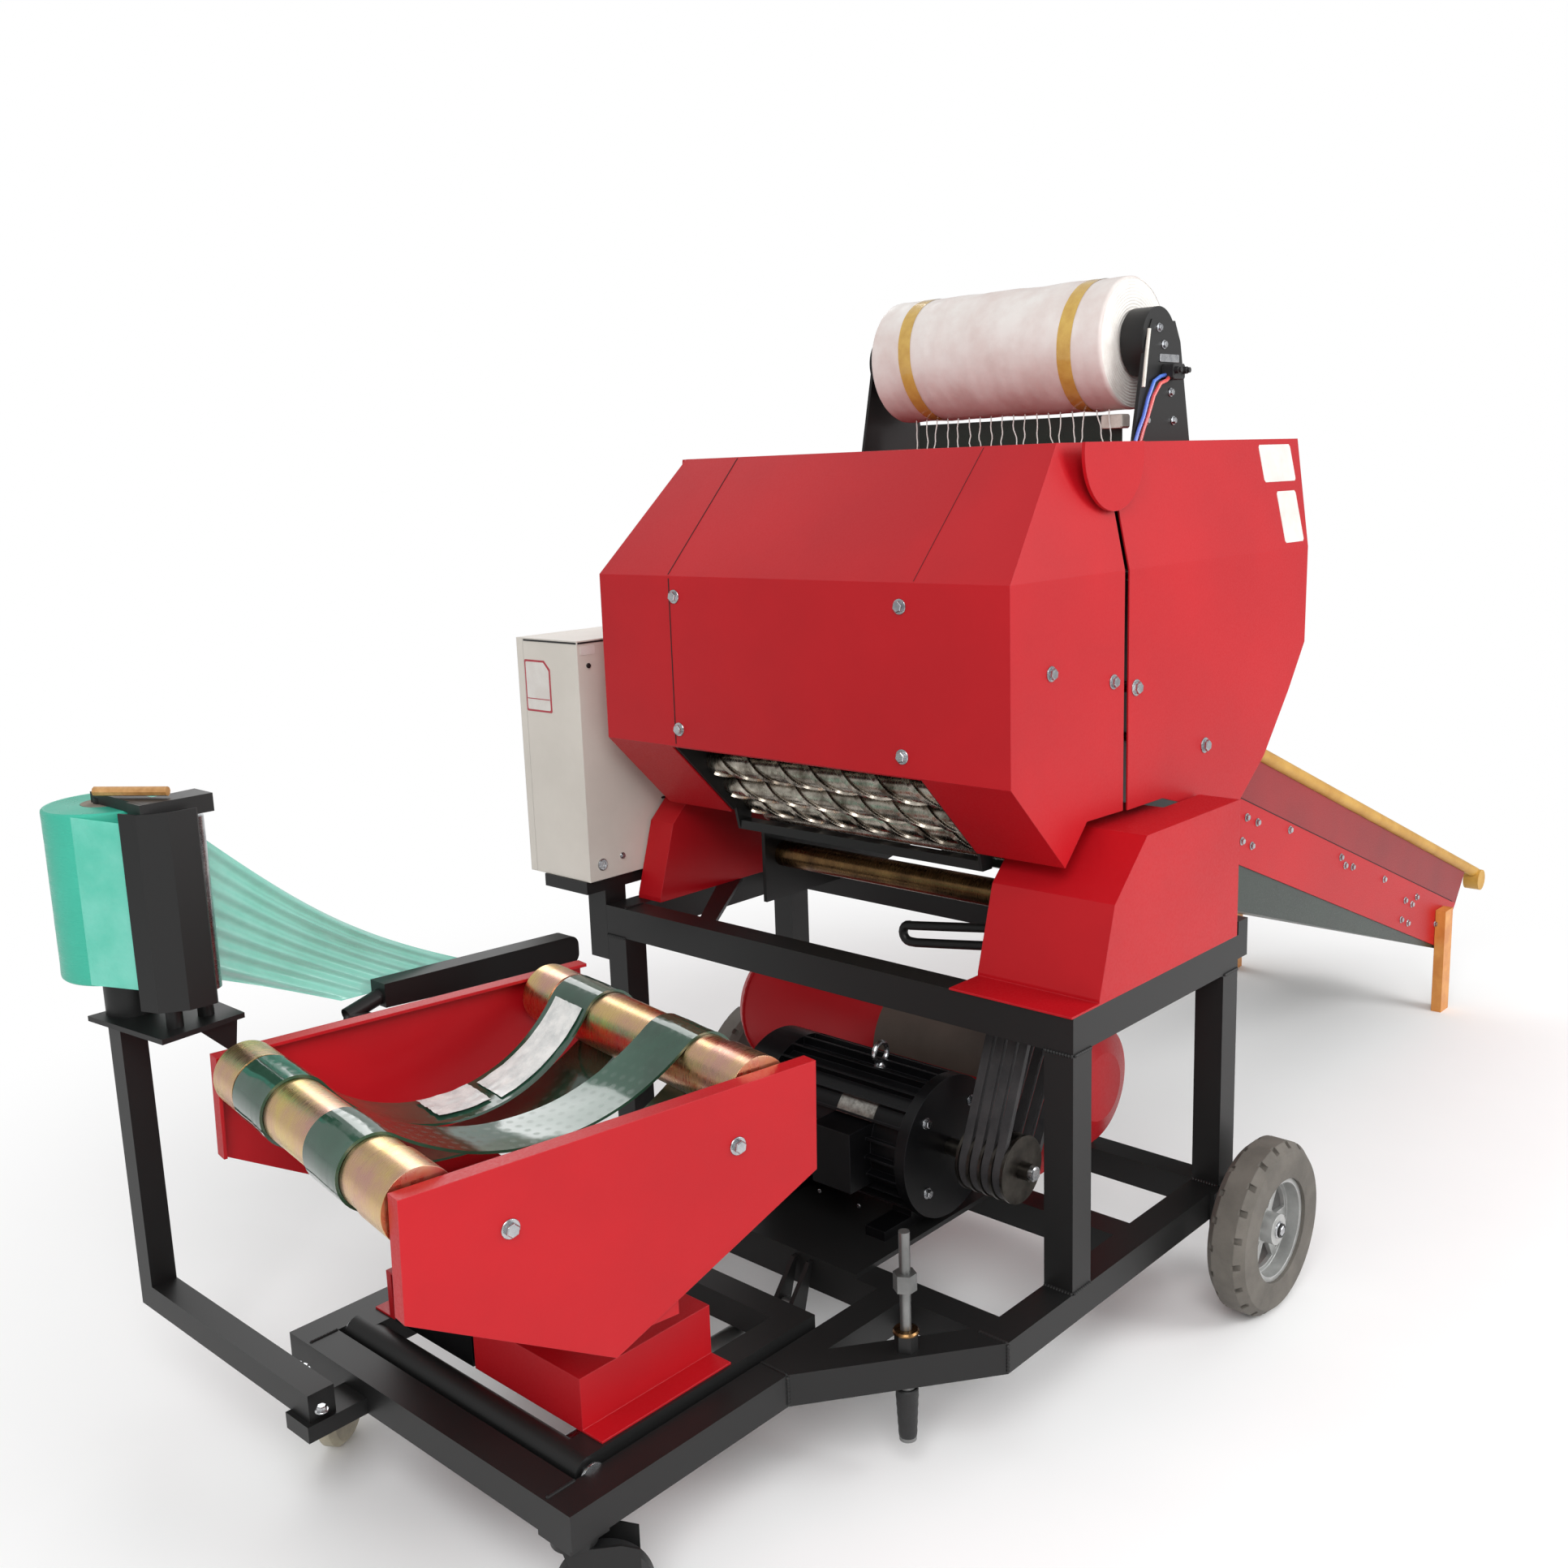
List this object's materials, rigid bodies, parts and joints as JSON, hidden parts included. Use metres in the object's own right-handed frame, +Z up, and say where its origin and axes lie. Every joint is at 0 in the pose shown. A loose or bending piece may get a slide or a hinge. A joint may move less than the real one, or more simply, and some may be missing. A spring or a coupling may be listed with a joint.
{
  "type": "silage baler with wrapping table",
  "caption": "Stationary small silage baler: sloped belt feeder, roller bale chamber in a swing-up hood, V-belt motor drive and a tilting turntable that wraps bales in stretch film.",
  "frame": {"origin": "on the floor under the middle of the whole machine", "axes": "+X along the machine towards the lower end of the feed conveyor, +Y towards the control cabinet, +Z up"},
  "size_m": [3.3359, 1.3202, 1.721],
  "materials": {
    "black_enamel": "gloss black enamel on steel",
    "tyre": "dark grey tyre rubber",
    "rim": "bare cast aluminium",
    "caster_black": "black rubber caster wheel",
    "caster_cream": "cream nylon wheel",
    "red_coat": "satin red powder coat on steel",
    "chrome": "bright chromed steel with spiral ribs",
    "steel": "bare drawn steel",
    "bronze": "bronze-coloured roller",
    "black_casting": "black paint on ribbed castings",
    "iron": "dark cast iron with machined rims",
    "rubber": "black moulded rubber",
    "net": "white knitted bale net wound on a core",
    "cabinet_coat": "light grey-white textured powder coat",
    "dark_red_coat": "darker satin red coat on sheet steel",
    "brown_paint": "yellow-brown enamel on tube",
    "green_belting": "glossy dark green belting",
    "green_paint": "dark green paint on thin sheet steel",
    "orange_paint": "gloss orange enamel on steel",
    "zinc": "iridescent yellow zinc plate on steel rollers",
    "aluminium": "bare drawn aluminium",
    "film": "turquoise stretch film"
  },
  "bodies": {
    "chassis": {"lower_frame": "black_enamel", "upper_frame": "black_enamel", "posts": "black_enamel", "axle_stubs": "black_enamel", "caster_plates": "black_enamel", "rear_hood": "red_coat", "hinge_ears": "red_coat", "chamber_sides": "black_enamel", "hood_studs": "steel", "rear_rollers": "chrome", "discharge_roller": "bronze", "belt_guard": "red_coat", "chain_guard": "red_coat", "motor_plate": "black_enamel", "motor": "black_casting", "drive_pulleys": "iron", "drive_belts": "rubber", "net_brackets": "black_enamel", "cabinet": "cabinet_coat", "cabinet_bracket": "black_enamel", "conveyor_frame": "red_coat", "conveyor_hopper": "dark_red_coat", "edge_tubes": "brown_paint", "conveyor_rollers": "steel", "conveyor_belt": "green_belting", "conveyor_pan": "green_paint", "conveyor_legs": "orange_paint", "tilt_pins": "steel", "cylinder_lugs": "black_enamel", "film_arm": "black_enamel", "film_holder": "black_enamel", "film_clamp": "black_enamel", "film_web": "film", "air_tank": "red_coat"},
    "wheel_right": {"tyre_right": "tyre", "rim_right": "rim"},
    "wheel_left": {"tyre_left": "tyre", "rim_left": "rim"},
    "caster_right": {"caster_fork_right": "black_enamel"},
    "caster_left": {"caster_fork_left": "black_enamel"},
    "caster_wheel_right": {"caster_wheel_right": "caster_black"},
    "caster_wheel_left": {"caster_wheel_left": "caster_cream"},
    "gate": {"gate_shell": "red_coat", "gate_sides": "black_enamel", "gate_rollers": "chrome"},
    "door": {"cabinet_door": "cabinet_coat"},
    "table": {"tilt_frame": "black_enamel", "table_base": "red_coat", "table_drive": "black_casting"},
    "turntable": {"turntable": "red_coat", "wrap_rollers": "zinc", "wrap_belts": "green_belting"},
    "cylinder_barrel": {"cylinder_barrel": "aluminium"},
    "cylinder_rod": {"cylinder_rod": "steel"},
    "net_roll": {"net_roll": "net"},
    "film_roll": {"film_roll": "film"},
    "stretch_front": {"stretch_roller_front": "aluminium"},
    "stretch_rear": {"stretch_roller_rear": "aluminium"},
    "jack": {"jack_leg": "steel"}
  },
  "joints": [
    {"name": "wheel_right_spin", "type": "hinge", "parent": "chassis", "child": "wheel_right", "pos_m": [-0.22976, -0.62685, 0.147], "axis": [0, 1, 0], "continuous": true},
    {"name": "wheel_left_spin", "type": "hinge", "parent": "chassis", "child": "wheel_left", "pos_m": [-0.22976, 0.53915, 0.147], "axis": [0, 1, 0], "continuous": true},
    {"name": "caster_right_swivel", "type": "hinge", "parent": "chassis", "child": "caster_right", "pos_m": [-1.47976, -0.32985, 0.144], "axis": [0, 0, 1], "continuous": true},
    {"name": "caster_right_spin", "type": "hinge", "parent": "caster_right", "child": "caster_wheel_right", "pos_m": [-1.45372, -0.3517, 0.0625], "axis": [0.6428, 0.766, 0], "continuous": true},
    {"name": "caster_left_swivel", "type": "hinge", "parent": "chassis", "child": "caster_left", "pos_m": [-1.47976, 0.24215, 0.144], "axis": [0, 0, 1], "continuous": true},
    {"name": "caster_left_spin", "type": "hinge", "parent": "caster_left", "child": "caster_wheel_left", "pos_m": [-1.45191, 0.26165, 0.0625], "axis": [-0.5736, 0.8192, 0], "continuous": true},
    {"name": "gate_hinge", "type": "hinge", "parent": "chassis", "child": "gate", "pos_m": [-0.45177, -0.04385, 1.425], "axis": [0, 1, 0], "range_deg": [0, 60]},
    {"name": "door_hinge", "type": "hinge", "parent": "chassis", "child": "door", "pos_m": [-0.44177, 0.61175, 0.907], "axis": [0, 0, -1], "range_deg": [0, 110]},
    {"name": "table_tilt", "type": "hinge", "parent": "chassis", "child": "table", "pos_m": [-1.43176, -0.04385, 0.19], "axis": [0, -1, 0], "range_deg": [0, 45]},
    {"name": "turntable_spin", "type": "hinge", "parent": "table", "child": "turntable", "pos_m": [-1.32276, -0.04385, 0.346], "axis": [0, 0, 1], "continuous": true},
    {"name": "cylinder_swing", "type": "hinge", "parent": "chassis", "child": "cylinder_barrel", "pos_m": [-0.90677, -0.16385, 0.13], "axis": [0, 1, 0], "range_deg": [-1, 2.58]},
    {"name": "cylinder_stroke", "type": "slide", "parent": "cylinder_barrel", "child": "cylinder_rod", "axis": [1, 0, 0], "range_m": [-0.002, 0.0461]},
    {"name": "net_roll_spin", "type": "hinge", "parent": "chassis", "child": "net_roll", "pos_m": [-0.09877, -0.04385, 1.609], "axis": [0, 1, 0], "continuous": true},
    {"name": "film_roll_spin", "type": "hinge", "parent": "chassis", "child": "film_roll", "pos_m": [-1.55676, 0.56815, 0.843], "axis": [0, 0, 1], "continuous": true},
    {"name": "stretch_front_spin", "type": "hinge", "parent": "chassis", "child": "stretch_front", "pos_m": [-1.55177, 0.44215, 0.821], "axis": [0, 0, 1], "continuous": true},
    {"name": "stretch_rear_spin", "type": "hinge", "parent": "chassis", "child": "stretch_rear", "pos_m": [-1.49676, 0.45615, 0.821], "axis": [0, 0, 1], "continuous": true},
    {"name": "jack_slide", "type": "slide", "parent": "chassis", "child": "jack", "axis": [0, 0, -1], "range_m": [0, 0.055]}
  ],
  "couplings": [
    {"joint": "cylinder_swing", "follows": "table_tilt", "ratio": 0.035219},
    {"joint": "cylinder_stroke", "follows": "table_tilt", "m_per_rad": 0.056088},
    {"joint": "stretch_rear_spin", "follows": "stretch_front_spin", "ratio": -1.6}
  ]
}
